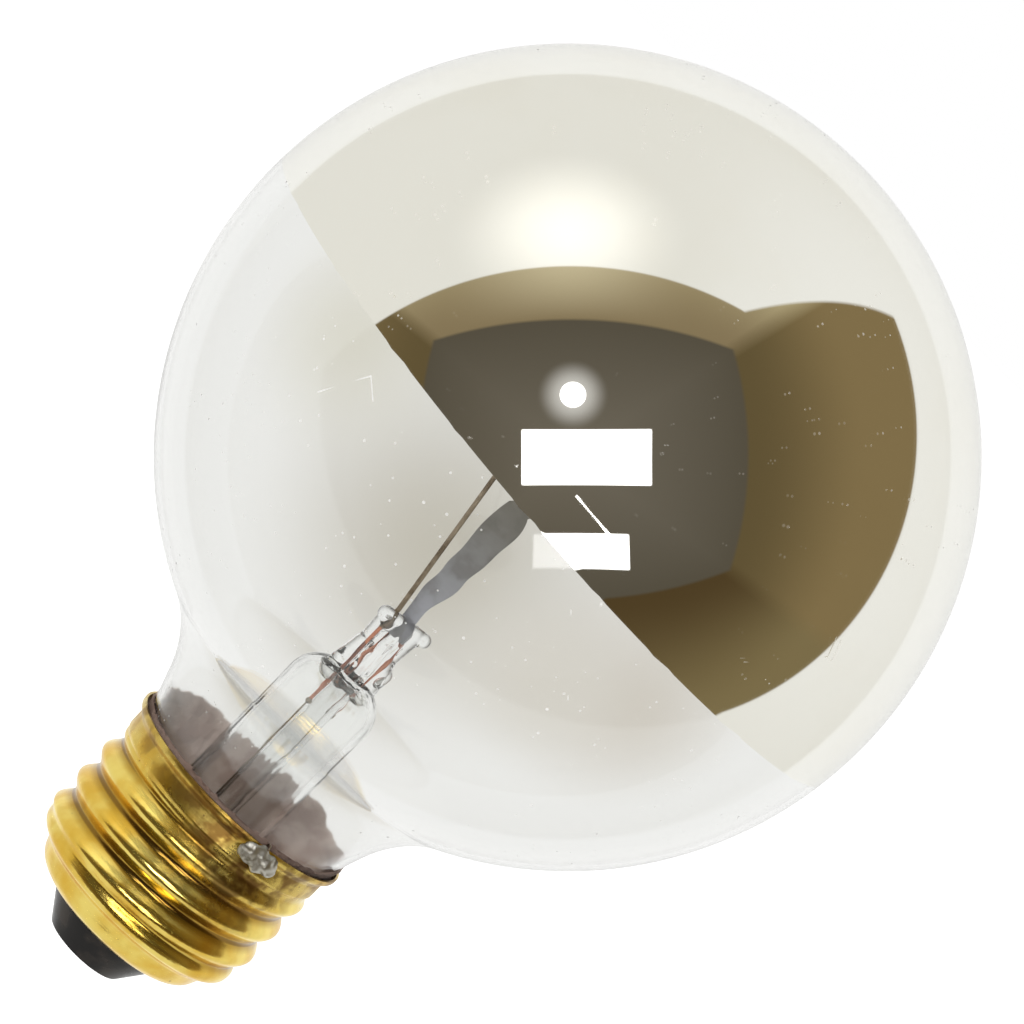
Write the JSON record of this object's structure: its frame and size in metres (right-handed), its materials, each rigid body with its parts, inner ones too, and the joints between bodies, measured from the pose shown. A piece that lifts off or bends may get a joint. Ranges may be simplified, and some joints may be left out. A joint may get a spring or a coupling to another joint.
{
  "type": "half-chrome globe bulb",
  "caption": "Globe bulb with a clear lower half, a mirrored crown half, glass stem with wire and strip leads, coiled filament and a medium brass screw base.",
  "frame": {"origin": "on the bulb's axis at the lowest point of the centre contact", "axes": "+Z along the bulb's axis from the contact to the crown; -Y faces the picture's camera, +X to its right"},
  "size_m": [0.082, 0.082, 0.1119],
  "materials": {
    "clear_glass": "clear blown glass",
    "mirror_silver": "bright mirror under glass",
    "stem_glass": "clear glass",
    "copper_wire": "copper red",
    "lead_wire": "drawn wire, dull",
    "strip_metal": "satin strip",
    "tungsten": "dark wire",
    "cement": "baked brown cement",
    "shell_brass": "rolled, heat-stained",
    "black_glass": "black glass",
    "solder": "dull solder"
  },
  "bodies": {
    "root": {"glass_envelope": "clear_glass", "mirror_coat": "mirror_silver", "glass_stem": "stem_glass", "exhaust_tube": "stem_glass", "dumet_side": "copper_wire", "dumet_centre": "copper_wire", "inner_lead_wire": "lead_wire", "inner_lead_strip": "strip_metal", "outer_lead_side": "lead_wire", "outer_lead_centre": "lead_wire", "filament": "tungsten", "basing_cement": "cement", "screw_shell": "shell_brass", "base_insulator": "black_glass", "contact_eyelet": "shell_brass", "contact_solder": "solder", "rim_solder": "solder"}
  },
  "joints": []
}
